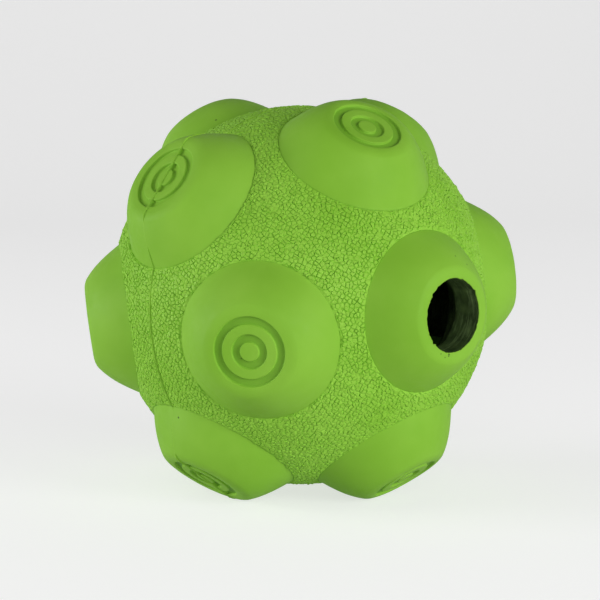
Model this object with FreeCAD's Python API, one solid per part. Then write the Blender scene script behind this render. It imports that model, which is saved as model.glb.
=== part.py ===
import FreeCAD, Part
import math
import os

# Moulded rubber maze ball: a hollow ball with fourteen ringed knobs, bonded
# from two moulded halves, with a treat hole through one knob and a small
# labyrinth of baffles inside.  All lengths in millimetres.
#
# Row frame: +Z up, the ball standing on three knobs, origin below its centre
# at the level it stands on.  The treat hole faces -Y, so the mould's parting
# plane is y = 0.

V = FreeCAD.Vector

# ---- driving dimensions -------------------------------------------------
R_BALL = 31.0            # plain spherical skin between the knobs
WALL = 4.5               # rubber thickness between the knobs

H_FACE = 34.72           # six knobs on the cube-face axes: height of the flat top
R_TOP_FACE = 7.22        # radius of the flat top
FOOT_FACE = 23.94        # half angle of the knob's foot circle, degrees
BULGE_FACE = 0.055       # outward bulge of the flank, as a share of its length

H_CORNER = 35.09         # eight knobs on the cube-corner axes
R_TOP_CORNER = 6.60
FOOT_CORNER = 23.48
BULGE_CORNER = 0.065

EDGE_ROUND = 0.5         # rounding of the flat top's edge

RING_OUTER = (4.17, 5.43)    # outer ring groove, inner and outer radius at its lips
RING_INNER = (1.44, 2.70)    # inner ring groove
RING_DEPTH = 0.42
RING_DRAFT = 0.28            # each wall leans in by this much over the depth

R_HOLE = 5.67            # treat hole
BORE_LENGTH = 5.0        # thickness of the knob's top around the hole

R_POCKET_TOP = 6.45      # hollow under each knob: radius at its top
R_POCKET_FOOT = 9.6      # and where it opens into the main hollow
Z_POCKET_FOOT = 23.8

BOND = 0.2               # thickness of the bond line between the halves
FLASH = 0.15             # how far the flash stands out of the skin

R_DISC = 27.9            # maze disc, seated between the halves
DISC_T = 2.0
R_SEAT = 28.0            # rebate that it sits in

BAFFLE_T = 2.0           # baffles, seated in shallow slots in the shell
R_BAFFLE = 27.3
R_SLOT = 27.4
SLOT_W = 2.2
LAP_W = 2.1              # half-lap slot where two baffles cross
R_ENTRY = 10.5           # open space left behind the treat hole
Y_ENTRY = 13.0           # it reaches from here to the hole
R_WINDOW = 6.0           # windows from chamber to chamber
RHO_WINDOW = 16.0        # their distance from the hole's axis
D_WINDOW = 11.5          # and, in the baffles, from the parting plane

# ---- axes ---------------------------------------------------------------
PSI = math.atan(math.sqrt(3.0) - 1.0)        # the ball stands on three knobs at this tilt
A = V(0, -1, 0)                              # treat hole
B = V(-math.cos(PSI), 0, math.sin(PSI))
C = V(-math.sin(PSI), 0, -math.cos(PSI))
ORIGIN = V(0, 0, 0)


def unit(v):
    return v * (1.0 / v.Length)


def place(shape, axis):
    """Turn a shape made about +Z so that +Z goes to axis."""
    s = shape.copy()
    s.Placement = FreeCAD.Placement(ORIGIN, FreeCAD.Rotation(V(0, 0, 1), axis)).multiply(s.Placement)
    return s


def revolve(edges):
    face = Part.Face(Part.Wire(edges))
    solid = face.revolve(ORIGIN, V(0, 0, 1), 360)
    if solid.ShapeType != "Solid":
        solid = Part.Solid(solid)
    if solid.Volume < 0:
        solid.reverse()
    return solid


def line(p, q):
    return Part.LineSegment(V(p[0], 0, p[1]), V(q[0], 0, q[1])).toShape()


def knob(h, r_top, foot_deg, bulge, grooves=True, grow=0.0):
    """One knob about +Z: flat top, convex flank, foot run a little way into the ball."""
    foot = math.radians(foot_deg)
    t = (r_top + grow, h + grow)
    b = ((R_BALL + grow) * math.sin(foot) + grow * 0.5, (R_BALL + grow) * math.cos(foot))
    ln = math.hypot(b[0] - t[0], b[1] - t[1])
    n = ((t[1] - b[1]) / ln, (b[0] - t[0]) / ln)
    m = ((t[0] + b[0]) / 2 + n[0] * bulge * ln, (t[1] + b[1]) / 2 + n[1] * bulge * ln)
    arc = Part.Arc(V(t[0], 0, t[1]), V(m[0], 0, m[1]), V(b[0], 0, b[1]))
    # direction of the flank where it meets the ball, run on 0.8 mm into it
    p = arc.value(arc.LastParameter)
    q = arc.value(arc.LastParameter - (arc.LastParameter - arc.FirstParameter) * 0.02)
    d = unit(p - q)
    e = (b[0] + d.x * 0.8, b[1] + d.z * 0.8)
    base = 26.0
    solid = revolve([line((0, base), (e[0], base)), line((e[0], base), e), line(e, b),
                     arc.toShape(), line(t, (0, t[1])), line((0, t[1]), (0, base))])
    top = [x for x in solid.Edges
           if abs(x.BoundBox.ZMin - t[1]) < 1e-4 and abs(x.BoundBox.ZMax - t[1]) < 1e-4
           and x.Length > 6.0 * t[0]]
    if EDGE_ROUND:
        solid = solid.makeFillet(EDGE_ROUND, top)
    if grooves:
        for r0, r1 in (RING_OUTER, RING_INNER):
            k = RING_DRAFT * 0.5 / RING_DEPTH
            cut = revolve([line((r0 + RING_DRAFT, h - RING_DEPTH), (r1 - RING_DRAFT, h - RING_DEPTH)),
                           line((r1 - RING_DRAFT, h - RING_DEPTH), (r1 + k, h + 0.5)),
                           line((r1 + k, h + 0.5), (r0 - k, h + 0.5)),
                           line((r0 - k, h + 0.5), (r0 + RING_DRAFT, h - RING_DEPTH))])
            solid = solid.cut(cut)
    return solid


def pocket(h):
    """Hollow under a knob, about +Z."""
    z = h - BORE_LENGTH
    return Part.makeCone(R_POCKET_FOOT, R_POCKET_TOP, z - Z_POCKET_FOOT, V(0, 0, Z_POCKET_FOOT), V(0, 0, 1))


def slab(normal, t, size=90.0):
    """A plate of thickness t through the ball's centre."""
    return place(Part.makeBox(size, size, t, V(-size / 2, -size / 2, -t / 2)), normal)


def half(y0, y1, size=90.0):
    return Part.makeBox(size, y1 - y0, size, V(-size / 2, y0, -size / 2))


FACES = [A, A * -1, B, B * -1, C, C * -1]
CORNERS = [unit(A * i + B * j + C * k) for i in (1, -1) for j in (1, -1) for k in (1, -1)]

# ---- the two moulded halves --------------------------------------------
face_knob = knob(H_FACE, R_TOP_FACE, FOOT_FACE, BULGE_FACE)
hole_knob = knob(H_FACE, R_TOP_FACE, FOOT_FACE, BULGE_FACE, grooves=False)
corner_knob = knob(H_CORNER, R_TOP_CORNER, FOOT_CORNER, BULGE_CORNER)

knobs = [place(hole_knob, A)] + [place(face_knob, f) for f in FACES[1:]]
knobs += [place(corner_knob, c) for c in CORNERS]
skin = Part.makeSphere(R_BALL).multiFuse(knobs)

hollow = Part.makeSphere(R_BALL - WALL).multiFuse(
    [place(pocket(H_FACE), f) for f in FACES] + [place(pocket(H_CORNER), c) for c in CORNERS])

bore = Part.makeCylinder(R_HOLE, 14.0, A * (H_FACE - 12.0), A)
seat = Part.makeCylinder(R_SEAT, DISC_T, V(0, -DISC_T / 2, 0), V(0, 1, 0))
slots = Part.makeSphere(R_SLOT).common(slab(C, SLOT_W)).fuse(
    Part.makeSphere(R_SLOT).common(slab(B, SLOT_W)))

body = skin.cut(hollow).cut(bore).cut(seat).cut(slots)
shell_front = body.common(half(-60.0, -BOND / 2))
shell_back = body.common(half(BOND / 2, 60.0))

# ---- bond line and its flash -------------------------------------------
def flat_face(points_or_edges):
    return Part.Face(Part.Wire(points_or_edges))


def knob_outline(grow):
    """Outline of a face knob in a plane through its axis (+Z), without its grooves."""
    foot = math.radians(FOOT_FACE)
    t = (R_TOP_FACE + grow * 0.6, H_FACE + grow)
    b = (R_BALL * math.sin(foot) + grow, R_BALL * math.cos(foot))
    ln = math.hypot(b[0] - t[0], b[1] - t[1])
    n = ((t[1] - b[1]) / ln, (b[0] - t[0]) / ln)
    m = ((t[0] + b[0]) / 2 + n[0] * BULGE_FACE * ln, (t[1] + b[1]) / 2 + n[1] * BULGE_FACE * ln)
    right = Part.Arc(V(t[0], 0, t[1]), V(m[0], 0, m[1]), V(b[0], 0, b[1])).toShape()
    left = Part.Arc(V(-t[0], 0, t[1]), V(-m[0], 0, m[1]), V(-b[0], 0, b[1])).toShape()
    e = (b[0] + 0.3, b[1] - 0.8)
    return flat_face([line((-t[0], t[1]), t), right, line(b, e), line(e, (e[0], 24.0)),
                      line((e[0], 24.0), (-e[0], 24.0)), line((-e[0], 24.0), (-e[0], e[1])),
                      line((-e[0], e[1]), (-b[0], b[1])), left])


def pocket_outline():
    z = H_FACE - BORE_LENGTH
    p = [(-R_POCKET_TOP, z), (R_POCKET_TOP, z), (R_POCKET_FOOT, Z_POCKET_FOOT), (-R_POCKET_FOOT, Z_POCKET_FOOT)]
    return flat_face([line(p[i], p[(i + 1) % 4]) for i in range(4)])


def disc_face(r):
    return Part.Face(Part.Wire(Part.Circle(ORIGIN, V(0, 1, 0), r).toShape()))


outline = disc_face(R_BALL + FLASH).multiFuse([place(knob_outline(FLASH), f) for f in FACES[2:]]).removeSplitter()
inside = disc_face(R_SEAT).multiFuse([place(pocket_outline(), f) for f in FACES[2:]]).removeSplitter()
ring = outline.cut(inside)
ring.translate(V(0, -BOND / 2, 0))
seam = ring.Faces[0].extrude(V(0, BOND, 0))
print("seam faces", len(ring.Faces))

# The flash is worn flush where the ball stands on it.
bb = shell_front.optimalBoundingBox(True)
z_floor = min(bb.ZMin, shell_back.optimalBoundingBox(True).ZMin)
seam = seam.cut(Part.makeBox(90, 10, 20, V(-45, -5, z_floor - 20)))

# ---- maze disc ----------------------------------------------------------
disc = Part.makeCylinder(R_DISC, DISC_T, V(0, -DISC_T / 2, 0), V(0, 1, 0))
for s in (1, -1):
    d = unit(B + C) * (s * RHO_WINDOW)
    disc = disc.cut(Part.makeCylinder(R_WINDOW, 10.0, V(d.x, -5.0, d.z), V(0, 1, 0)))


# ---- baffles ------------------------------------------------------------
def baffle(normal, along, side, lap_outer, windows):
    """Half disc standing on one face of the maze disc.

    normal: across the plate; along: the in-plane axis square to the hole;
    side: -1 towards the treat hole, +1 away from it; lap_outer: the half-lap
    is cut from the shell's side rather than the disc's; windows: signs along
    the in-plane axis that get a window.
    """
    y0, y1 = sorted((side * DISC_T / 2, side * 60.0))
    s = Part.makeSphere(R_BAFFLE).common(slab(normal, BAFFLE_T)).common(half(y0, y1))
    reach = Y_ENTRY if side < 0 else R_BAFFLE
    if side < 0:
        s = s.cut(Part.makeCylinder(R_ENTRY, 40.0, V(0, -Y_ENTRY, 0), V(0, -1, 0)))
    mid = (DISC_T / 2 + reach) / 2
    if lap_outer:
        a, b = side * mid, side * 40.0
    else:
        a, b = side * DISC_T / 4, side * mid
    lap = slab(along, LAP_W).common(half(min(a, b), max(a, b))).common(slab(normal, 6.0))
    s = s.cut(lap)
    for w in windows:
        c = along * (w * RHO_WINDOW) + V(0, side * D_WINDOW, 0)
        s = s.cut(Part.makeCylinder(R_WINDOW, 10.0, c - normal * 5.0, normal))
    return s


baffle_front = baffle(C, B, -1, True, ())
baffle_front_cross = baffle(B, C, -1, False, ())
baffle_back = baffle(C, B, 1, True, (1,))
baffle_back_cross = baffle(B, C, 1, False, (1,))

# ---- out ----------------------------------------------------------------
nodes = {
    "shell_front": shell_front,
    "shell_back": shell_back,
    "seam_bond": seam,
    "maze_disc": disc,
    "baffle_front": baffle_front,
    "baffle_front_cross": baffle_front_cross,
    "baffle_back": baffle_back,
    "baffle_back_cross": baffle_back_cross,
}

xs, ys, zs = [], [], []
for s in nodes.values():
    bb = s.optimalBoundingBox(True)
    xs += [bb.XMin, bb.XMax]
    ys += [bb.YMin, bb.YMax]
    zs += [bb.ZMin, bb.ZMax]
shift = V(-(min(xs) + max(xs)) / 2, -(min(ys) + max(ys)) / 2, -min(zs))
print("box", max(xs) - min(xs), max(ys) - min(ys), max(zs) - min(zs), "shift", shift)

for name, s in nodes.items():
    s = s.copy()
    s.translate(shift)
    if s.ShapeType == "Compound" and len(s.Solids) == 1:
        s = s.Solids[0]
    print(name, "valid", s.isValid(), "solids", len(s.Solids), "volume", round(s.Volume, 1))
    s.exportStep("parts/%s.step" % name)
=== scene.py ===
import math

import bpy
import numpy as np
from mathutils import Vector, Matrix, kdtree, noise
from mathutils.geometry import delaunay_2d_cdt


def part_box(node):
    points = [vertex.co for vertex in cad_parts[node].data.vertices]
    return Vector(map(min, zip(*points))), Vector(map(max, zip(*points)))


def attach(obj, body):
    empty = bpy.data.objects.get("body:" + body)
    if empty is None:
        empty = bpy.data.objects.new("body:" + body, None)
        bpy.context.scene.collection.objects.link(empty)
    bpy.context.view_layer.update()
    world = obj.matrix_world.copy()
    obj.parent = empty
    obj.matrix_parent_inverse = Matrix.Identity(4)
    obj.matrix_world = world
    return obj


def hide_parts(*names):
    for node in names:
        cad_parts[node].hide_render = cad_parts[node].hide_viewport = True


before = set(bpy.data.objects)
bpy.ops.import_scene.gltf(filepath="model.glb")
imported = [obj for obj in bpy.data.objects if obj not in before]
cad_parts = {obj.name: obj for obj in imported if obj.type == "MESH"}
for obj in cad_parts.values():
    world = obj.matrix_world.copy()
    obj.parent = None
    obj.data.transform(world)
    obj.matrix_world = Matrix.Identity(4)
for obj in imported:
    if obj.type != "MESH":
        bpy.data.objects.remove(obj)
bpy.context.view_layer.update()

# Lengths in this script are in millimetres about the ball's centre, and are
# turned into metres in the row frame when a mesh is made.

# ---- the ball's geometry, as in the CAD model ---------------------------
R_BALL = 31.0
WALL = 4.5
H_FACE, R_TOP_FACE, FOOT_FACE, BULGE_FACE, SKEW_FACE = 34.72, 7.22, 23.94, 0.050, 0.33
H_CORNER, R_TOP_CORNER, FOOT_CORNER, BULGE_CORNER, SKEW_CORNER = 35.09, 6.60, 23.48, 0.060, 0.35
EDGE_FACE, EDGE_CORNER = 0.75, 0.75
RING_OUTER = (4.17, 5.43)
RING_INNER = (1.44, 2.70)
RING_DEPTH = 0.42
R_HOLE = 5.67
BORE_LENGTH = 5.0
R_POCKET_TOP, R_POCKET_FOOT, Z_POCKET_FOOT = 6.45, 9.6, 23.8
BOND = 0.2

PSI = math.atan(math.sqrt(3.0) - 1.0)
A = np.array([0.0, -1.0, 0.0])
B = np.array([-math.cos(PSI), 0.0, math.sin(PSI)])
C = np.array([-math.sin(PSI), 0.0, -math.cos(PSI)])
Y = np.array([0.0, 1.0, 0.0])

_lo, _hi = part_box("shell_front")
CENTRE = np.array([0.0, 0.0, 500.0 * (_lo[2] + _hi[2])])

SEGS = 96            # segments round a ringed knob
FOOT_SEGS = 288      # and round its foot, where the grained skin starts
GRAIN_PITCH = 0.70   # pebble to pebble
GRAIN_HEIGHT = 0.24
INNER_PITCH = 1.7


def unit(v):
    v = np.asarray(v, float)
    return v / np.linalg.norm(v)


# ---- deterministic noise ------------------------------------------------
def waves(p, scale, seed, octaves=1):
    """Smooth noise of position, about -1 to 1."""
    off = Vector((seed * 13.7, seed * 7.3, seed * 3.1))
    if octaves == 1:
        return np.array([noise.noise(Vector(q) * scale + off) for q in p])
    return np.array([noise.fractal(Vector(q) * scale + off, 1.0, 2.0, octaves) for q in p])


# ---- mesh under construction -------------------------------------------
class Build:
    def __init__(self):
        self.v, self.n, self.f, self.m = [], 0, [], []
        self.painted_shade = {}

    def points(self, p):
        p = np.atleast_2d(np.asarray(p, float))
        i = np.arange(self.n, self.n + len(p))
        self.v.append(p)
        self.n += len(p)
        return i

    def faces(self, tris, mat):
        tris = np.asarray(tris, np.int64).reshape(-1, 3)
        self.f.append(tris)
        self.m.append(np.full(len(tris), mat, np.int32))

    def array(self):
        return np.concatenate(self.v), np.concatenate(self.f), np.concatenate(self.m)


def strip(a, b, closed):
    """Triangles between two rows of the same number of points."""
    if closed:
        a, b = np.append(a, a[0]), np.append(b, b[0])
    return np.concatenate([np.c_[a[:-1], b[:-1], b[1:]], np.c_[a[:-1], b[1:], a[1:]]])


def strip3(a, b, closed):
    """Triangles between a row and one with three times its segments."""
    if closed:
        a, b = np.append(a, a[0]), np.append(b, b[0])
    out = []
    for i in range(len(a) - 1):
        j = 3 * i
        out += [(a[i], b[j], b[j + 1]), (a[i], b[j + 1], b[j + 2]), (a[i], b[j + 2], a[i + 1]),
                (a[i + 1], b[j + 2], b[j + 3])]
    return out


# ---- knob sections: (radius, height) from the middle out ----------------
def groove(r0, r1, depth):
    left = [(-0.14, 0.0), (-0.085, -0.012), (0.0, -0.16), (0.025, -0.30), (0.05, -0.85), (0.085, -0.96), (0.16, -1.0)]
    p = [(r0 + x, z * depth) for x, z in left]
    p.append(((r0 + r1) / 2, -depth))
    p += [(r1 - x, z * depth) for x, z in reversed(left)]
    return p


def flank(h, r_top, foot_deg, bulge, skew, edge, rows=11):
    """The rounded edge of the flat top and the convex flank down to the foot."""
    f = math.radians(foot_deg)
    t = np.array([r_top, h])
    b = np.array([R_BALL * math.sin(f), R_BALL * math.cos(f)])
    ln = np.linalg.norm(b - t)
    n = np.array([t[1] - b[1], b[0] - t[0]]) / ln
    s = np.linspace(0, 1, 400)
    arc = t + (b - t) * s[:, None] + n * (4 * bulge * ln * s * (1 - s) * (1 + skew * (1 - 2 * s)))[:, None]
    # rounding: a smooth blend from a point on the flat to one on the flank
    i = int(np.searchsorted(np.linalg.norm(arc - t, axis=1), edge * 1.25))
    p0, p2 = t - np.array([edge * 1.25, 0]), arc[i]
    k = np.linspace(0, 1, 8)[:, None]
    p1 = t + np.array([0.05, 0.0])
    w = 0.80
    den = (1 - k) ** 2 + 2 * w * k * (1 - k) + k ** 2
    rounding = ((1 - k) ** 2 * p0 + 2 * w * k * (1 - k) * p1 + k ** 2 * p2) / den
    rest = arc[np.append(np.linspace(i, len(arc) - 1, rows).astype(int)[1:-1], [len(arc) - 8, len(arc) - 1])]
    return [tuple(x) for x in rounding] + [tuple(x) for x in rest]


def ring_section(h, r_top, foot_deg, bulge, skew, edge):
    p = [(0.0, 0.0), (0.45, 0.0), (0.9, 0.0)]
    p += groove(*RING_INNER, RING_DEPTH)
    p += [(3.43, 0.0)]
    p += groove(*RING_OUTER, RING_DEPTH)
    p = [(r, h + z) for r, z in p]
    fl = flank(h, r_top, foot_deg, bulge, skew, edge)
    fl = [q for q in fl if q[0] > p[-1][0] + 0.02]
    return p + fl


FACE_SECTION = ring_section(H_FACE, R_TOP_FACE, FOOT_FACE, BULGE_FACE, SKEW_FACE, EDGE_FACE)
CORNER_SECTION = ring_section(H_CORNER, R_TOP_CORNER, FOOT_CORNER, BULGE_CORNER, SKEW_CORNER, EDGE_CORNER)
HOLE_FLANK = flank(H_FACE, R_TOP_FACE, FOOT_FACE, BULGE_FACE, SKEW_FACE, 0.5)

FACES = [A, -A, B, -B, C, -C]
CORNERS = [unit(A * i + B * j + C * k) for i in (1, -1) for j in (1, -1) for k in (1, -1)]
KNOBS = [(n, H_FACE, math.radians(FOOT_FACE)) for n in FACES] + [(n, H_CORNER, math.radians(FOOT_CORNER)) for n in CORNERS]

SMOOTH, GRAINED, CUT = 0, 1, 2


def soften(p):
    """Moulded rubber is never dead true: a slow unevenness of the knobs."""
    d = 0.035 * waves(p, 0.22, 3) + 0.012 * waves(p, 0.9, 5)
    n = p / np.linalg.norm(p, axis=1)[:, None]
    return p + n * d[:, None]


def ringed_knob(mb, axis, u, v, section, half):
    cols = SEGS // 2 + 1 if half else SEGS
    th = np.arange(cols) * (2 * math.pi / SEGS)
    dirs = np.cos(th)[:, None] * u + np.sin(th)[:, None] * v
    rows = []
    pole = mb.points(soften(np.array([axis * section[0][1]])))
    for r, z in section[1:-1]:
        rows.append(mb.points(soften(dirs * r + axis * z)))
        # painted shade on the groove floors: 0.6 on the +C knob, 0.36 on the others, 0.08 on the +B knob, whose floors
        # are lit
        if z < section[0][1] - 0.9 * RING_DEPTH and r < RING_OUTER[1]:
            for i in rows[-1]:
                mb.painted_shade[int(i)] = 0.08 if axis @ B > 0.9 else (0.6 if axis @ C > 0.9 else 0.36)
    fc = FOOT_SEGS // 2 + 1 if half else FOOT_SEGS
    ft = np.arange(fc) * (2 * math.pi / FOOT_SEGS)
    fd = np.cos(ft)[:, None] * u + np.sin(ft)[:, None] * v
    r, z = section[-1]
    foot = mb.points(fd * r + axis * z)
    a = rows[0]
    if not half:
        a = np.append(a, a[0])
    mb.faces(np.c_[np.full(len(a) - 1, pole[0]), a[:-1], a[1:]], SMOOTH)
    for i in range(len(rows) - 1):
        mb.faces(strip(rows[i], rows[i + 1], not half), SMOOTH)
    mb.faces(strip3(rows[-1], foot, not half), SMOOTH)
    return foot


def hole_knob(mb, axis, u, v):
    th = np.arange(FOOT_SEGS) * (2 * math.pi / FOOT_SEGS)
    dirs = np.cos(th)[:, None] * u + np.sin(th)[:, None] * v
    circ = np.c_[np.cos(th), np.sin(th), np.zeros_like(th)] * R_HOLE
    west = 0.5 - 0.5 * (dirs @ np.array([1.0, 0.0, -0.1]))
    rough = 0.055 * waves(circ, 0.55, 11) + (0.025 + 0.05 * west ** 2) * waves(circ, 2.2, 12)
    rough += (0.015 + 0.085 * west ** 3) * waves(circ, 4.6, 13)
    nick = np.clip(waves(circ, 1.5, 21) - 0.28, 0, 1) * 0.45 - np.clip(waves(circ, 1.2, 23) - 0.38, 0, 1) * 0.35
    for deg, width, depth in ((222.0, 3.2, 0.27), (226.5, 2.0, -0.14), (205.0, 3.0, 0.12), (141.0, 2.2, 0.17), (145.5, 1.6, -0.12),
                              (128.0, 5.0, 0.12), (168.0, 2.2, 0.14), (288.0, 2.5, 0.10), (35.0, 4.0, 0.10)):
        w = dirs @ np.array([math.cos(math.radians(deg)), 0.0, math.sin(math.radians(deg))])
        off = np.degrees(np.arccos(np.clip(w, -1, 1)))
        nick += depth * np.clip(1 - off / width, 0, 1) ** 0.7
    z_in = H_FACE - BORE_LENGTH
    rows = []
    for k, (dz, share) in enumerate([(0.0, 0.0), (0.5, 0.25), (1.0, 0.4), (1.5, 0.5), (2.0, 0.5), (2.5, 0.6), (3.0, 0.6),
                                     (3.5, 0.7), (4.0, 0.8), (4.4, 0.9), (4.72, 1.0), (4.9, 1.0)]):
        p = np.c_[np.cos(th) * R_HOLE, np.sin(th) * R_HOLE, np.full_like(th, dz)]
        score = 0.05 * waves(p * np.array([2.6, 2.6, 0.35]), 1.0, 31) + 0.035 * waves(p, 1.3, 33)
        r = R_HOLE + share * (rough + nick) + (score if k else 0)
        rows.append((mb.points(dirs * r[:, None] + axis * (z_in + dz)), CUT))
    lip = [(0.02, -0.035), (0.08, -0.005), (0.20, 0.0), (0.42, 0.0)]
    for i, (dr, dz) in enumerate(lip):
        fade = (1.0, 0.9, 0.5, 0.15)[i]
        z = H_FACE + dz + 0.03 * fade * waves(circ, 1.6, 41)
        r = R_HOLE + dr + fade * (rough + nick)
        rows.append((mb.points(soften(dirs * r[:, None] + axis * z[:, None])), SMOOTH))
    for r, z in [q for q in HOLE_FLANK if q[0] > R_HOLE + 0.5][:-1]:
        rows.append((mb.points(soften(dirs * r + axis * z)), SMOOTH))
    r, z = HOLE_FLANK[-1]
    rows.append((mb.points(dirs * r + axis * z), SMOOTH))
    for (a, _), (b, m) in zip(rows[:-1], rows[1:]):
        mb.faces(strip(a, b, True), m)
    return rows[-1][0], rows[0][0]


# ---- grain of the skin --------------------------------------------------
def fibonacci(spacing, radius):
    n = int(4 * math.pi * radius ** 2 / (spacing ** 2 * math.sqrt(3) / 2))
    i = np.arange(n) + 0.5
    z = 1 - 2 * i / n
    ph = i * math.pi * (3 - math.sqrt(5))
    s = np.sqrt(1 - z * z)
    return np.c_[s * np.cos(ph), s * np.sin(ph), z]


_rng = np.random.default_rng(20)
_seeds = fibonacci(GRAIN_PITCH, R_BALL) * R_BALL
_seeds = _seeds + _rng.normal(0, 0.15, _seeds.shape)
_seeds = _seeds / np.linalg.norm(_seeds, axis=1)[:, None] * R_BALL
_size = _rng.uniform(0.55, 1.0, len(_seeds))
_tree = kdtree.KDTree(len(_seeds))
for _i, _s in enumerate(_seeds):
    _tree.insert(_s, _i)
_tree.balance()
_inset = _rng.uniform(0.60, 0.80, len(_seeds))
_lean = _rng.normal(0, 0.15, _seeds.shape)
_rng2 = np.random.default_rng(21)


def grain(p):
    """Height of the pebbled skin over its valleys."""
    h = np.empty(len(p))
    for k, q in enumerate(p):
        (_, i, d1), (_, _, d2) = _tree.find_n(q, 2)
        t = min(1.0, (d2 - d1) / 0.24)
        h[k] = GRAIN_HEIGHT * _size[i] * (1 - (1 - t) ** 2)
    return h


# ---- Delaunay meshing of a cap of directions ----------------------------
def flat_map(d, pole, e1, e2):
    d = d / np.linalg.norm(d, axis=1)[:, None]
    return np.c_[d @ e1, d @ e2] / (1 + d @ pole)[:, None]


def delaunay(q, edges):
    """Triangles over points q that keep the given edges.

    Where two of the edges cross, a point is added. Returns the triangles, as
    indices into q with the added points after it, and the added points.
    """
    out = delaunay_2d_cdt([Vector(x) for x in q], edges, [], 0, 1e-9, True)
    ids, extra = [], []
    for co, orig in zip(out[0], out[3]):
        if orig:
            ids.append(min(orig))
        else:
            ids.append(len(q) + len(extra))
            extra.append((co[0], co[1]))
    return np.array(ids)[np.array(out[2], np.int64)], np.array(extra).reshape(-1, 2)


def pebbles(pole, e1, e2):
    """Points of the pebbled skin over one hemisphere, and the edges to keep.

    Each pebble is a cell of the grain's Voronoi diagram: a low outline of its
    corners, shared with its neighbours, and a raised plateau inside it.
    """
    dirs = _seeds / R_BALL
    near = np.flatnonzero(((dirs @ pole) * R_BALL > -1.3) & ~in_foot(dirs, -1.3))
    d = dirs[near]
    tris, _ = delaunay(flat_map(d, pole, e1, e2), [])
    a, b, c = d[tris[:, 0]], d[tris[:, 1]], d[tris[:, 2]]
    cc = np.cross(b - a, c - a)
    cc *= np.sign((cc * a).sum(1))[:, None]
    cc /= np.linalg.norm(cc, axis=1)[:, None] + 1e-30
    big = np.linalg.norm(cc - a, axis=1) * R_BALL > 1.1
    ok = ((cc @ pole) * R_BALL > 0.14) & ~in_foot(cc, 0.05) & ~big
    # corners closer than 0.07 mm become one
    tree = kdtree.KDTree(len(cc))
    for i, x in enumerate(cc):
        tree.insert(x * R_BALL, i)
    tree.balance()
    rep_of = np.full(len(cc), -1)
    for i in range(len(cc)):
        if ok[i] and rep_of[i] < 0:
            for _, j, _ in tree.find_range(cc[i] * R_BALL, 0.07):
                if ok[j] and rep_of[j] < 0:
                    rep_of[j] = i
    corners = np.unique(rep_of[rep_of >= 0])
    at = {int(c): k for k, c in enumerate(corners)}
    pts = [cc[corners]]
    shut = _rng2.random(len(corners)) < 0.10
    h = [np.where(shut, GRAIN_HEIGHT * _rng2.uniform(0.35, 0.80, len(corners)), 0.012 * _rng2.standard_normal(len(corners)))]
    n = len(corners)
    ring, rd, rh = {}, [], []

    def ring_point(seed, corner):
        key = (seed, corner)
        if key not in ring:
            x = unit(d[seed] + _inset[near[seed]] * (cc[corner] - d[seed]))
            if (x @ pole) * R_BALL < 0.12 or in_foot(x[None], 0.05)[0]:
                ring[key] = -1
            else:
                ring[key] = n + len(rd)
                rd.append(x)
                rh.append(GRAIN_HEIGHT * _size[near[seed]] * (0.88 + float(_lean[near[seed]] @ (x - d[seed])) * R_BALL / 0.3))
        return ring[key]

    sides = {}
    edges = []
    for t in range(len(tris)):
        v = int(rep_of[t])
        for k in range(3):
            i, j = int(tris[t, k]), int(tris[t, (k + 1) % 3])
            if v >= 0:
                ring_point(i, v)
            key = (min(i, j), max(i, j))
            if key in sides:
                w = sides[key]
                if v >= 0 and w >= 0 and v != w:
                    edges.append((at[v], at[w]))
                    for s_ in key:
                        p, q = ring_point(s_, v), ring_point(s_, w)
                        if p >= 0 and q >= 0:
                            edges.append((p, q))
            else:
                sides[key] = v
    pts.append(np.array(rd))
    h.append(np.array(rh))
    mid = ((d @ pole) * R_BALL > 0.14) & ~in_foot(d, 0.07)
    pts.append(d[mid])
    h.append(GRAIN_HEIGHT * _size[near[mid]])
    return np.concatenate(pts), np.concatenate(h), edges


def in_foot(d, margin):
    hit = np.zeros(len(d), bool)
    for n, _, foot in KNOBS:
        hit |= d @ n > math.cos(foot + margin / R_BALL)
    return hit


def inner_radius(d):
    """The inside: a sphere with a pocket under each knob."""
    r = np.full(len(d), R_BALL - WALL)
    for n, h, _ in KNOBS:
        zt = h - BORE_LENGTH
        c = np.clip(d @ n, 1e-6, 1)
        t = np.sqrt(1 - c * c) / c
        k = (R_POCKET_FOOT - R_POCKET_TOP) / (zt - Z_POCKET_FOOT)
        z = np.where(t <= R_POCKET_TOP / zt, zt, (R_POCKET_TOP + zt * k) / (t + k))
        r = np.maximum(r, np.where(c > 0.8, z / c, 0))
    return r


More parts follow.
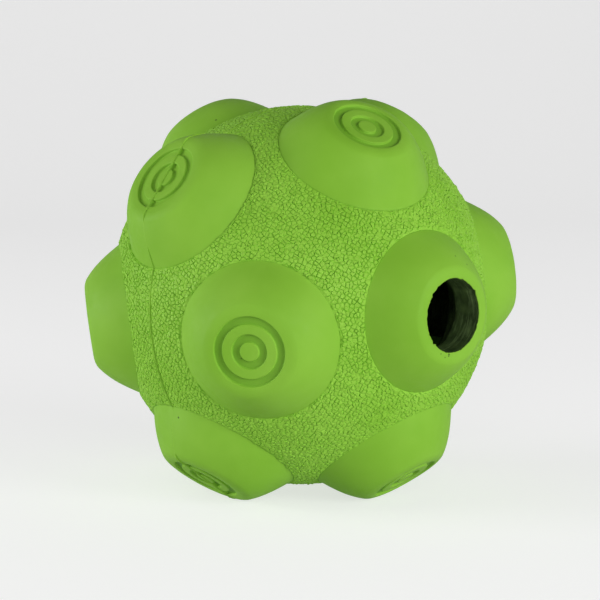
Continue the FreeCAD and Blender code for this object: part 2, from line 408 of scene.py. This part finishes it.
def make_shell(side):
    """One moulded half. side is -1 for the half with the treat hole (y < 0)."""
    mb = Build()
    pole = Y * side
    rings, chains, hole_in = [], [], None
    for n, h, foot in KNOBS:
        s = n @ pole
        face = h == H_FACE
        if s < -0.01:
            continue
        if abs(s) < 0.01:                       # cut by the parting plane
            u = np.cross(Y, n)
            rings.append(ringed_knob(mb, n, u, pole, FACE_SECTION, True))
            continue
        u = unit(np.cross(n, C if abs(n @ C) < 0.9 else B))
        v = np.cross(n, u)
        if face and side < 0:
            ring, hole_in = hole_knob(mb, n, u, v)
        else:
            ring = ringed_knob(mb, n, u, v, FACE_SECTION if face else CORNER_SECTION, False)
        rings.append(np.append(ring, ring[0]))

    # rim of the skin in the parting plane, between the knobs that it cuts
    axes = sorted((math.atan2(n[2], n[0]), n) for n in (B, -B, C, -C))
    f = math.radians(FOOT_FACE)
    rim_dirs, rim_slices = [], []
    for k, (ang, n) in enumerate(axes):
        nxt = axes[(k + 1) % 4][0] + (2 * math.pi if k == 3 else 0)
        span = (nxt - ang) - 2 * f
        m = int(round(span * R_BALL / 0.24))
        t = ang + f + span * np.arange(1, m) / m
        rim_slices.append((len(rim_dirs), len(rim_dirs) + len(t)))
        rim_dirs += [(math.cos(x), 0.0, math.sin(x)) for x in t]
    rim_dirs = np.array(rim_dirs)

    e1, e2 = np.array([1.0, 0, 0]), np.array([0, 0, 1.0])
    d, dh, kept = pebbles(pole, e1, e2)
    skin_dirs = np.concatenate([rim_dirs, d])
    base = skin_dirs * R_BALL
    rim_rise = np.clip(0.06 + 0.13 * waves(rim_dirs * R_BALL, 0.22, 16) + 0.05 * waves(rim_dirs * R_BALL, 1.3, 17), 0, 0.16)
    height = np.concatenate([rim_rise, dh]) + 0.03 * waves(base, 0.35, 8)
    height[len(rim_dirs):] += 0.04 * waves(d * R_BALL, 0.85, 14)
    skin = mb.points(skin_dirs * (R_BALL + height)[:, None])
    # painted shade in the grain's valleys and on low rim points: the lower a point lies, the darker
    rise = np.concatenate([rim_rise, dh])
    for i, x in zip(skin, rise):
        mb.painted_shade[int(i)] = 1.0 - min(1.0, max(0.0, x) / (0.5 * GRAIN_HEIGHT))
    at = np.concatenate(mb.v)
    # painted shade along each knob's foot, where knob and skin meet, varying slowly round the foot
    for r in rings:
        for i, x in zip(r, 0.42 + 0.50 * waves(at[r], 0.5, 15)):
            mb.painted_shade[int(i)] = float(np.clip(x, 0.15, 0.95))

    ring_ids = np.concatenate([r[:-1] if r[0] == r[-1] else r for r in rings])
    all_ids = np.concatenate([ring_ids, skin])
    owner = np.full(len(all_ids), -1)
    edges, k = [], 0
    for j, r in enumerate(rings):
        closed = r[0] == r[-1]
        m = len(r) - 1 if closed else len(r)
        owner[k:k + m] = j
        edges += [(k + i, k + i + 1) for i in range(m - 1)]
        if closed:
            edges.append((k + m - 1, k))
        k += m
    for a, b in rim_slices:
        edges += [(len(ring_ids) + i, len(ring_ids) + i + 1) for i in range(a, b - 1)]
    first = len(ring_ids) + len(rim_dirs)
    edges += [(first + i, first + j) for i, j in kept]
    pts = np.concatenate(mb.v)[all_ids]
    tris, extra = delaunay(flat_map(pts, pole, e1, e2), edges)
    if len(extra):                              # where two kept edges cross
        q2 = (extra ** 2).sum(1)[:, None]
        more = (2 * extra[:, :1] * e1 + 2 * extra[:, 1:] * e2 + (1 - q2) * pole) / (1 + q2)
        all_ids = np.concatenate([all_ids, mb.points(more * (R_BALL + 0.05))])
        owner = np.concatenate([owner, np.full(len(extra), -1)])
    print("skin points", len(skin), "added", len(extra))
    o = owner[tris]
    inside = (o[:, 0] >= 0) & (o[:, 0] == o[:, 1]) & (o[:, 1] == o[:, 2])
    mb.faces(all_ids[tris[~inside]], GRAINED)

    # the inner side
    ta = np.linspace(-math.pi, math.pi, 241)[:-1] + 0.003
    loop_dirs = np.c_[np.cos(ta), np.zeros(240), np.sin(ta)]
    loop = mb.points(loop_dirs * inner_radius(loop_dirs)[:, None])
    d = fibonacci(INNER_PITCH, 28.0)
    d = d[(d @ pole) * 28 > 0.6]
    ids = [loop]
    edges = [(i, (i + 1) % 240) for i in range(240)]
    if hole_in is not None:
        d = d[d @ A < math.cos(math.atan2(R_HOLE, H_FACE - BORE_LENGTH) + 0.3 / 28)]
        edges += [(240 + i, 240 + (i + 1) % FOOT_SEGS) for i in range(FOOT_SEGS)]
        ids.append(hole_in)
    ids.append(mb.points(d * (inner_radius(d) + 0.02 * waves(d * 28, 0.5, 9))[:, None]))
    ids = np.concatenate(ids)
    pts = np.concatenate(mb.v)[ids]
    tris, extra = delaunay(flat_map(pts, pole, e1, e2), edges)
    assert not len(extra)
    if hole_in is not None:
        is_hole = (tris >= 240) & (tris < 240 + FOOT_SEGS)
        tris = tris[~is_hole.all(1)]
    mb.faces(ids[tris], CUT)

    # the bonding face between the two rims
    v, fc, _ = mb.array()
    e = np.sort(np.concatenate([fc[:, [0, 1]], fc[:, [1, 2]], fc[:, [2, 0]]]), axis=1)
    e, count = np.unique(e, axis=0, return_counts=True)
    rim = np.unique(e[count == 1])
    assert abs(v[rim, 1]).max() < 0.2, abs(v[rim, 1]).max()
    inner_set = set(loop.tolist())
    beside = {}
    for a, b in e[count == 1].tolist():
        if a not in inner_set:
            beside.setdefault(a, []).append(b)
            beside.setdefault(b, []).append(a)
    assert all(len(x) == 2 for x in beside.values())
    turn = {i: math.atan2(v[i, 2], v[i, 0]) for i in beside}
    outer = [min(turn, key=turn.get)]
    outer.append(min(beside[outer[0]], key=turn.get))
    while True:                                 # walk the rim, so that folds keep their order
        a, b = beside[outer[-1]]
        step = b if a == outer[-2] else a
        if step == outer[0]:
            break
        outer.append(step)
    assert len(outer) == len(beside)
    ao = np.maximum.accumulate([turn[i] for i in outer])
    inner, ai = loop, ta
    i = j = 0
    no, ni = len(outer), len(inner)
    out = []
    while i < no or j < ni:
        next_o = ao[(i + 1) % no] + (2 * math.pi if i + 1 >= no else 0) if i < no else 99
        next_i = ai[(j + 1) % ni] + (2 * math.pi if j + 1 >= ni else 0) if j < ni else 99
        if next_o <= next_i:
            out.append((outer[i % no], outer[(i + 1) % no], inner[j % ni]))
            i += 1
        else:
            out.append((outer[i % no], inner[(j + 1) % ni], inner[j % ni]))
            j += 1
    mb.faces(out, CUT)

    v, fc, mt = mb.array()
    # open the bond line: each half ends half a bond's width short of the plane
    v = v.copy()
    v[:, 1] = side * (BOND / 2 + np.abs(v[:, 1]) * (1 - BOND / 2 / H_FACE))
    painted_shade = np.zeros(len(v))
    painted_shade[list(mb.painted_shade)] = list(mb.painted_shade.values())
    return v, fc, mt, painted_shade


def check_closed(name, v, f):
    e = np.sort(np.concatenate([f[:, [0, 1]], f[:, [1, 2]], f[:, [2, 0]]]), axis=1)
    _, count = np.unique(e, axis=0, return_counts=True)
    print(name, "verts", len(v), "tris", len(f), "edges not shared by two faces:", int((count != 2).sum()))


def orient(v, f):
    """Turn every triangle the same way round, outwards, by walking the mesh."""
    me = bpy.data.meshes.new("tmp")
    me.from_pydata(v.tolist(), [], f.tolist())
    import bmesh
    bm = bmesh.new()
    bm.from_mesh(me)
    bmesh.ops.recalc_face_normals(bm, faces=bm.faces)
    if bm.calc_volume(signed=True) < 0:
        bmesh.ops.reverse_faces(bm, faces=bm.faces)
    bm.faces.ensure_lookup_table()
    g = np.array([[x.index for x in p.verts] for p in bm.faces])
    bm.free()
    bpy.data.meshes.remove(me)
    return g


def to_object(name, v, f, mt, materials, painted_shade=None):
    f = orient(v, f)
    me = bpy.data.meshes.new(name)
    w = (v + CENTRE) * 0.001
    me.vertices.add(len(w))
    me.vertices.foreach_set("co", w.astype(np.float32).ravel())
    me.loops.add(len(f) * 3)
    me.loops.foreach_set("vertex_index", f.astype(np.int32).ravel())
    me.polygons.add(len(f))
    me.polygons.foreach_set("loop_start", np.arange(0, len(f) * 3, 3, dtype=np.int32))
    me.polygons.foreach_set("loop_total", np.full(len(f), 3, np.int32))
    for m in materials:
        me.materials.append(m)
    me.polygons.foreach_set("material_index", mt.astype(np.int32))
    me.polygons.foreach_set("use_smooth", mt != GRAINED)
    me.update(calc_edges=True)
    if (mt == CUT).any():                       # cut edges are sharp
        e = np.zeros(len(me.loops), np.int32)
        me.loops.foreach_get("edge_index", e)
        cut = np.repeat(mt == CUT, 3)
        n = len(me.edges)
        sharp = (np.bincount(e[cut], minlength=n) > 0) & (np.bincount(e[~cut], minlength=n) > 0)
        me.attributes.new("sharp_edge", "BOOLEAN", "EDGE").data.foreach_set("value", sharp)
    if painted_shade is not None:
        at = me.attributes.new("painted_shade", "FLOAT", "POINT")
        at.data.foreach_set("value", painted_shade.astype(np.float32))
    o = bpy.data.objects.new(name, me)
    bpy.context.scene.collection.objects.link(o)
    return o


# ---- bond line and flash ------------------------------------------------
def make_flash():
    sec = [(0.0, H_FACE)] + [(r, z) for r, z in HOLE_FLANK]
    sec = np.array(sec)
    sec_ang = np.arctan2(sec[:, 0], sec[:, 1])
    sec_r = np.hypot(sec[:, 0], sec[:, 1])
    n = 1560
    t = -math.pi + 2 * math.pi * np.arange(n) / n
    d = np.c_[np.cos(t), np.zeros(n), np.sin(t)]
    r = np.full(n, R_BALL + 0.06)
    for ax in (B, -B, C, -C):
        ang = np.arccos(np.clip(d @ ax, -1, 1))
        m = ang < sec_ang[-1]
        # the flat top is straight, so its radius grows with the angle
        flat = H_FACE / np.cos(ang)
        rr = np.interp(ang, sec_ang, sec_r)
        r = np.where(m, np.where(ang < math.atan2(HOLE_FLANK[0][0], H_FACE), flat, rr), r)
    p = d * r[:, None]
    h = 0.20 + 0.08 * waves(p, 0.25, 51) + 0.06 * waves(p, 1.1, 53) + 0.03 * waves(p, 3.0, 55)
    nick = np.clip(waves(p, 0.7, 57) - 0.35, 0, 1) * 0.4
    h = np.clip(h - nick, 0.05, 0.34)
    # trimmed almost flush on the knobs' flanks
    for ax in (B, -B, C, -C):
        ang = np.degrees(np.arccos(np.clip(d @ ax, -1, 1)))
        upper = (d @ np.array([-ax[2], 0.0, ax[0]]) < 0) if ax is B else np.zeros(n, bool)
        w = np.clip((ang - 11.5) / 1.5, 0, 1) * np.clip((np.where(upper | (ax is not B), 24.5, 20.0) - ang) / 1.5, 0, 1)
        h = h * (1 - w) + (0.01 + 0.14 * upper * np.clip((17.5 - ang) / 1.5, 0, 1)) * w
    # worn flush where the ball stands on it
    z = p[:, 2] + CENTRE[2]
    h = np.where(z < 0.45, np.minimum(h, 0.02 + np.clip(z, 0, 1) * 0.2), h)
    lean = 0.02 * waves(p, 0.5, 59)
    rin = inner_radius(d)
    mb = Build()
    mid = (r + rin) / 2
    rows = [mb.points(np.c_[(d * q[:, None])[:, 0], yy + lean * k, (d * q[:, None])[:, 2]]) for q, yy, k in (
        (rin, -0.098, 0), (mid, -0.098, 0), (r - 0.06, -0.104, 0), (r + h * 0.35, -0.095, 1), (r + h * 0.85, -0.06, 1),
        (r + h, 0.0, 1), (r + h * 0.85, 0.06, 1), (r + h * 0.35, 0.095, 1), (r - 0.06, 0.104, 0), (mid, 0.098, 0), (rin, 0.098, 0))]
    for a, b in zip(rows, rows[1:] + rows[:1]):
        mb.faces(strip(a, b, True), 0)
    return mb.array()


# ---- materials ----------------------------------------------------------
def srgb(r, g, b):
    def lin(c):
        c /= 255.0
        return c / 12.92 if c <= 0.04045 else ((c + 0.055) / 1.055) ** 2.4
    return (lin(r), lin(g), lin(b), 1.0)


def rubber(name, tones, rough=(0.42, 0.58), bump=0.05, bump_scale=2500.0, mottle=70.0, specks=0.0, stains=0.0,
           fine=0.0, spec=0.15, painted_shade_weight=0.0, streaks=0.0, crumbs_and_pit_shade=()):
    """Moulded rubber: slow mottling between tones, fine bump, varied gloss."""
    m = bpy.data.materials.new(name)
    m.use_nodes = True
    nt = m.node_tree
    nt.nodes.clear()
    N, L = nt.nodes.new, nt.links.new
    out = N("ShaderNodeOutputMaterial")
    bsdf = N("ShaderNodeBsdfPrincipled")
    L(bsdf.outputs[0], out.inputs[0])
    bsdf.inputs["Specular IOR Level"].default_value = spec
    bsdf.inputs["IOR"].default_value = 1.5
    co = N("ShaderNodeTexCoord")

    def noise_tex(scale, detail=3.0, rough_=0.55):
        t = N("ShaderNodeTexNoise")
        t.inputs["Scale"].default_value = scale
        t.inputs["Detail"].default_value = detail
        t.inputs["Roughness"].default_value = rough_
        L(co.outputs["Object"], t.inputs["Vector"])
        return t

    big = noise_tex(mottle)
    ramp = N("ShaderNodeValToRGB")
    L(big.outputs["Fac"], ramp.inputs[0])
    el = ramp.color_ramp.elements
    el[0].position, el[0].color = 0.34, tones[0]
    el[1].position, el[1].color = 0.66, tones[-1]
    for k, c in enumerate(tones[1:-1]):
        e = el.new(0.34 + 0.32 * (k + 1) / (len(tones) - 1))
        e.color = c
    colour = ramp.outputs["Color"]
    if specks:
        vo = N("ShaderNodeTexVoronoi")
        vo.inputs["Scale"].default_value = 260.0
        L(co.outputs["Object"], vo.inputs["Vector"])
        near = N("ShaderNodeMath"); near.operation = "LESS_THAN"
        near.inputs[1].default_value = 0.040
        L(vo.outputs["Distance"], near.inputs[0])
        pick = N("ShaderNodeMath"); pick.operation = "LESS_THAN"
        pick.inputs[1].default_value = specks
        sep = N("ShaderNodeSeparateColor")
        L(vo.outputs["Color"], sep.inputs[0])
        L(sep.outputs[0], pick.inputs[0])
        both = N("ShaderNodeMath"); both.operation = "MULTIPLY"
        L(near.outputs[0], both.inputs[0]); L(pick.outputs[0], both.inputs[1])
        soft = N("ShaderNodeMath"); soft.operation = "MULTIPLY"
        soft.inputs[1].default_value = 0.6
        L(both.outputs[0], soft.inputs[0])
        mix = N("ShaderNodeMix"); mix.data_type = "RGBA"
        L(soft.outputs[0], mix.inputs[0]); L(colour, mix.inputs[6])
        mix.inputs[7].default_value = srgb(60, 95, 25)
        colour = mix.outputs[2]
    # dark dots: dirt for the crumbs, painted shade for the pinholes
    for at, radius in crumbs_and_pit_shade:
        dist = N("ShaderNodeVectorMath"); dist.operation = "DISTANCE"
        L(co.outputs["Object"], dist.inputs[0])
        dist.inputs[1].default_value = tuple((np.array(at) + CENTRE) * 0.001)
        r2 = N("ShaderNodeMapRange")
        r2.inputs[1].default_value, r2.inputs[2].default_value = radius * 0.0007, radius * 0.0013
        r2.inputs[3].default_value, r2.inputs[4].default_value = 0.85, 0.0
        L(dist.outputs["Value"], r2.inputs[0])
        mix = N("ShaderNodeMix"); mix.data_type = "RGBA"
        L(r2.outputs[0], mix.inputs[0]); L(colour, mix.inputs[6])
        mix.inputs[7].default_value = srgb(38, 62, 22)
        colour = mix.outputs[2]
    if stains:
        st = noise_tex(380.0, 5.0, 0.7)
        r2 = N("ShaderNodeMapRange")
        r2.inputs[1].default_value, r2.inputs[2].default_value = 0.45, 0.75
        r2.inputs[3].default_value, r2.inputs[4].default_value = 0.0, stains
        L(st.outputs["Fac"], r2.inputs[0])
        mix = N("ShaderNodeMix"); mix.data_type = "RGBA"
        L(r2.outputs[0], mix.inputs[0]); L(colour, mix.inputs[6])
        mix.inputs[7].default_value = tuple(0.45 * c for c in tones[0][:3]) + (1.0,)
        colour = mix.outputs[2]
    if streaks:
        st = noise_tex(1.0, 4.0, 0.65)
        mp = N("ShaderNodeMapping")
        mp.inputs["Scale"].default_value = (260.0, 2400.0, 260.0)
        L(co.outputs["Object"], mp.inputs["Vector"])
        L(mp.outputs[0], st.inputs["Vector"])
        r2 = N("ShaderNodeMapRange")
        r2.inputs[1].default_value, r2.inputs[2].default_value = 0.50, 0.78
        r2.inputs[3].default_value, r2.inputs[4].default_value = 0.0, streaks
        L(st.outputs["Fac"], r2.inputs[0])
        mix = N("ShaderNodeMix"); mix.data_type = "RGBA"
        L(r2.outputs[0], mix.inputs[0]); L(colour, mix.inputs[6])
        mix.inputs[7].default_value = (0.26, 0.38, 0.15, 1.0)
        colour = mix.outputs[2]
    # painted shade: mixes toward a deep green where the painted_shade attribute is high, on groove floors, grain
    # valleys and knob feet
    if painted_shade_weight:
        at = N("ShaderNodeAttribute")
        at.attribute_name = "painted_shade"
        k = N("ShaderNodeMath"); k.operation = "MULTIPLY"
        k.inputs[1].default_value = painted_shade_weight
        L(at.outputs["Fac"], k.inputs[0])
        mix = N("ShaderNodeMix"); mix.data_type = "RGBA"
        L(k.outputs[0], mix.inputs[0]); L(colour, mix.inputs[6])
        mix.inputs[7].default_value = (0.075, 0.235, 0.010, 1.0)
        colour = mix.outputs[2]
    L(colour, bsdf.inputs["Base Color"])

    rn = noise_tex(900.0, 2.0)
    mr = N("ShaderNodeMapRange")
    mr.inputs[1].default_value, mr.inputs[2].default_value = 0.3, 0.7
    mr.inputs[3].default_value, mr.inputs[4].default_value = rough
    L(rn.outputs["Fac"], mr.inputs[0])
    L(mr.outputs[0], bsdf.inputs["Roughness"])

    bt = noise_tex(bump_scale, 3.0, 0.6)
    bp = N("ShaderNodeBump")
    bp.inputs["Strength"].default_value = bump
    bp.inputs["Distance"].default_value = 0.0003
    L(bt.outputs["Fac"], bp.inputs["Height"])
    last = bp
    if fine:
        vo = N("ShaderNodeTexVoronoi")
        vo.inputs["Scale"].default_value = 2600.0
        L(co.outputs["Object"], vo.inputs["Vector"])
        b2 = N("ShaderNodeBump")
        b2.inputs["Strength"].default_value = fine
        b2.inputs["Distance"].default_value = 0.0002
        b2.invert = True
        L(vo.outputs["Distance"], b2.inputs["Height"])
        L(bp.outputs[0], b2.inputs["Normal"])
        last = b2
    L(last.outputs[0], bsdf.inputs["Normal"])
    return m


G_MID = (0.246, 0.522, 0.042, 1.0)
G_LIGHT = (0.268, 0.549, 0.050, 1.0)
G_DEEP = (0.224, 0.492, 0.034, 1.0)
# crumbs and pinholes as dark dots, the crumbs dirt, the pinholes' dots painted shade of pits too small to model: where
# they are (mm about the ball's centre), and how large
CRUMBS_AND_PIT_SHADE = [((-28.94, -19.34, -0.07), 0.13), ((-28.48, -18.83, -5.38), 0.19), ((-10.33, 9.28, 28.85), 0.17), ((-26.91, -1.45, -17.01), 0.16),
         ((-0.94, -34.71, -5.87), 0.16), ((-0.98, -34.71, -6.12), 0.12), ((-2.68, -34.71, -5.61), 0.10), ((-1.79, -34.70, -6.24), 0.10),
         ((1.89, -33.18, 8.80), 0.12), ((3.74, -33.86, 7.43), 0.12)]
# rubber_smooth takes painted shade at weight 0.9 and rubber_grained at 0.05, from the painted_shade attribute
smooth_mat = rubber("rubber_smooth", [tuple(0.975 * c for c in t[:3]) + (1.0,) for t in (G_DEEP, G_MID, G_LIGHT)], rough=(0.52, 0.66), bump=0.06, specks=0.03, painted_shade_weight=0.9, crumbs_and_pit_shade=CRUMBS_AND_PIT_SHADE)
grain_mat = rubber("rubber_grained", [tuple(k * c for k, c in zip((1.14, 1.11, 1.24), t)) + (1.0,) for t in (G_DEEP, G_MID, G_LIGHT)], rough=(0.52, 0.68), bump=0.12, fine=0.3, painted_shade_weight=0.05)
# dark grey-green on the cut faces, the bore among them: partly dirt, partly painted shade of the bore, whose rubber is
# green
cut_dirt_and_shade_mat = rubber("rubber_cut_dirt_and_shade", [srgb(56, 76, 40), srgb(74, 98, 52), srgb(88, 112, 60)], rough=(0.5, 0.7), bump=0.5,
                 bump_scale=1500.0, mottle=450.0, stains=0.6, streaks=0.9)
flash_mat = rubber("rubber_flash", [G_MID, G_LIGHT, (0.27, 0.56, 0.035, 1.0)], rough=(0.42, 0.55), bump=0.12)
maze_mat = rubber("rubber_maze", [srgb(40, 66, 22), srgb(48, 76, 26), srgb(56, 86, 30)], rough=(0.55, 0.7), bump=0.2, stains=0.4)

# ---- pieces -------------------------------------------------------------
for name, side in (("shell_front", -1), ("shell_back", 1)):
    v, f, mt, painted_shade = make_shell(side)
    check_closed(name, v, f)
    o = to_object("skin_" + name, v, f, mt, [smooth_mat, grain_mat, cut_dirt_and_shade_mat], painted_shade)
    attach(o, "root")
    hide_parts(name)

v, f, mt = make_flash()
check_closed("flash", v, f)
o = to_object("seam_flash", v, f, mt, [flash_mat])
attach(o, "root")
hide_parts("seam_bond")

for name in ("maze_disc", "baffle_front", "baffle_front_cross", "baffle_back", "baffle_back_cross"):
    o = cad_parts[name]
    if not o.material_slots:
        o.data.materials.append(maze_mat)
    for s in o.material_slots:
        s.material = maze_mat

# ---- floor, light, camera -----------------------------------------------
def studio():
    prof = [(-0.9, 0.0), (0.55, 0.0)]
    r = 0.35
    for k in range(1, 17):
        a = k / 16 * math.pi / 2
        prof.append((0.55 + r * math.sin(a), r - r * math.cos(a)))
    prof.append((0.9, 1.6))
    verts, faces = [], []
    az = math.radians(-41.75)
    back = np.array([math.sin(az), -math.cos(az)])
    right = np.array([math.cos(az), math.sin(az)])
    for x, z in prof:
        for w in (-1.6, 1.6):
            p = -back * x + right * w
            verts.append((p[0], p[1], z))
    for k in range(len(prof) - 1):
        faces.append((2 * k, 2 * k + 1, 2 * k + 3, 2 * k + 2))
    me = bpy.data.meshes.new("studio_floor")
    me.from_pydata(verts, [], faces)
    me.polygons.foreach_set("use_smooth", [True] * len(faces))
    o = bpy.data.objects.new("studio_floor", me)
    bpy.context.scene.collection.objects.link(o)
    m = bpy.data.materials.new("studio_paper")
    m.use_nodes = True
    b = m.node_tree.nodes["Principled BSDF"]
    b.inputs["Base Color"].default_value = (0.42, 0.42, 0.42, 1)
    b.inputs["Roughness"].default_value = 0.9
    b.inputs["Specular IOR Level"].default_value = 0.1
    b.inputs["Emission Color"].default_value = (1, 1, 1, 1)
    lp = m.node_tree.nodes.new("ShaderNodeLightPath")
    k = m.node_tree.nodes.new("ShaderNodeMath")
    k.operation = "MULTIPLY_ADD"
    k.inputs[1].default_value = 0.40
    k.inputs[2].default_value = 0.25
    m.node_tree.links.new(lp.outputs["Is Camera Ray"], k.inputs[0])
    m.node_tree.links.new(k.outputs[0], b.inputs["Emission Strength"])
    me.materials.append(m)
    return o


studio()

AZ, EL = math.radians(-41.75), math.radians(7.1)
back = Vector((math.sin(AZ) * math.cos(EL), -math.cos(AZ) * math.cos(EL), math.sin(EL)))
right = Vector((math.cos(AZ), math.sin(AZ), 0.0))
up = back.cross(right)
ball = Vector(CENTRE) * 0.001
R = R_BALL * 0.001
cam_data = bpy.data.cameras.new("camera")
cam_data.sensor_width = 36.0
cam_data.lens = 105.5
cam_data.clip_start, cam_data.clip_end = 0.01, 20.0
cam = bpy.data.objects.new("camera", cam_data)
bpy.context.scene.collection.objects.link(cam)
cam.matrix_world = Matrix.Translation(ball + back * (9.406 * R) - up * (0.0277 * R) - right * (0.0040 * R)) @ \
    Matrix((right, up, back)).transposed().to_4x4()
bpy.context.scene.camera = cam


def area(name, at, size, power, gloss=True, colour=(1, 1, 1)):
    """A soft light aimed at the ball, placed in the camera's right, up, back directions, in metres."""
    d = bpy.data.lights.new(name, "AREA")
    d.shape = "RECTANGLE"
    d.size, d.size_y = size
    d.energy = power
    d.color = colour
    o = bpy.data.objects.new(name, d)
    p = ball + right * at[0] + up * at[1] + back * at[2]
    o.matrix_world = Matrix.Translation(p) @ (ball - p).to_track_quat("-Z", "Y").to_matrix().to_4x4()
    o.visible_camera = False
    o.visible_glossy = gloss
    bpy.context.scene.collection.objects.link(o)
    return o


area("light_left", (-0.60, 0.05, 0.02), (0.28, 0.28), 2.70)
area("light_right", (0.45, 0.07, 0.39), (0.26, 0.26), 2.12)
area("light_front", (0.06, 0.10, 0.59), (0.36, 0.36), 0.86)
area("light_rim", (0.51, 0.05, -0.32), (0.38, 0.38), 0.68, gloss=False)
area("light_high", (-0.35, 0.39, 0.30), (0.38, 0.38), 0.45, gloss=False)

world = bpy.data.worlds.new("studio_world")
bpy.context.scene.world = world
world.use_nodes = True
world.node_tree.nodes["Background"].inputs[0].default_value = (1, 1, 1, 1)
seen = world.node_tree.nodes.new("ShaderNodeLightPath")
pale = world.node_tree.nodes.new("ShaderNodeMath")
pale.operation = "MULTIPLY_ADD"
pale.inputs[1].default_value = 0.64
pale.inputs[2].default_value = 0.02
world.node_tree.links.new(seen.outputs["Is Camera Ray"], pale.inputs[0])
world.node_tree.links.new(pale.outputs[0], world.node_tree.nodes["Background"].inputs[1])
bpy.context.scene.view_settings.view_transform = "Standard"
bpy.context.scene.view_settings.look = "None"

bpy.context.view_layer.update()
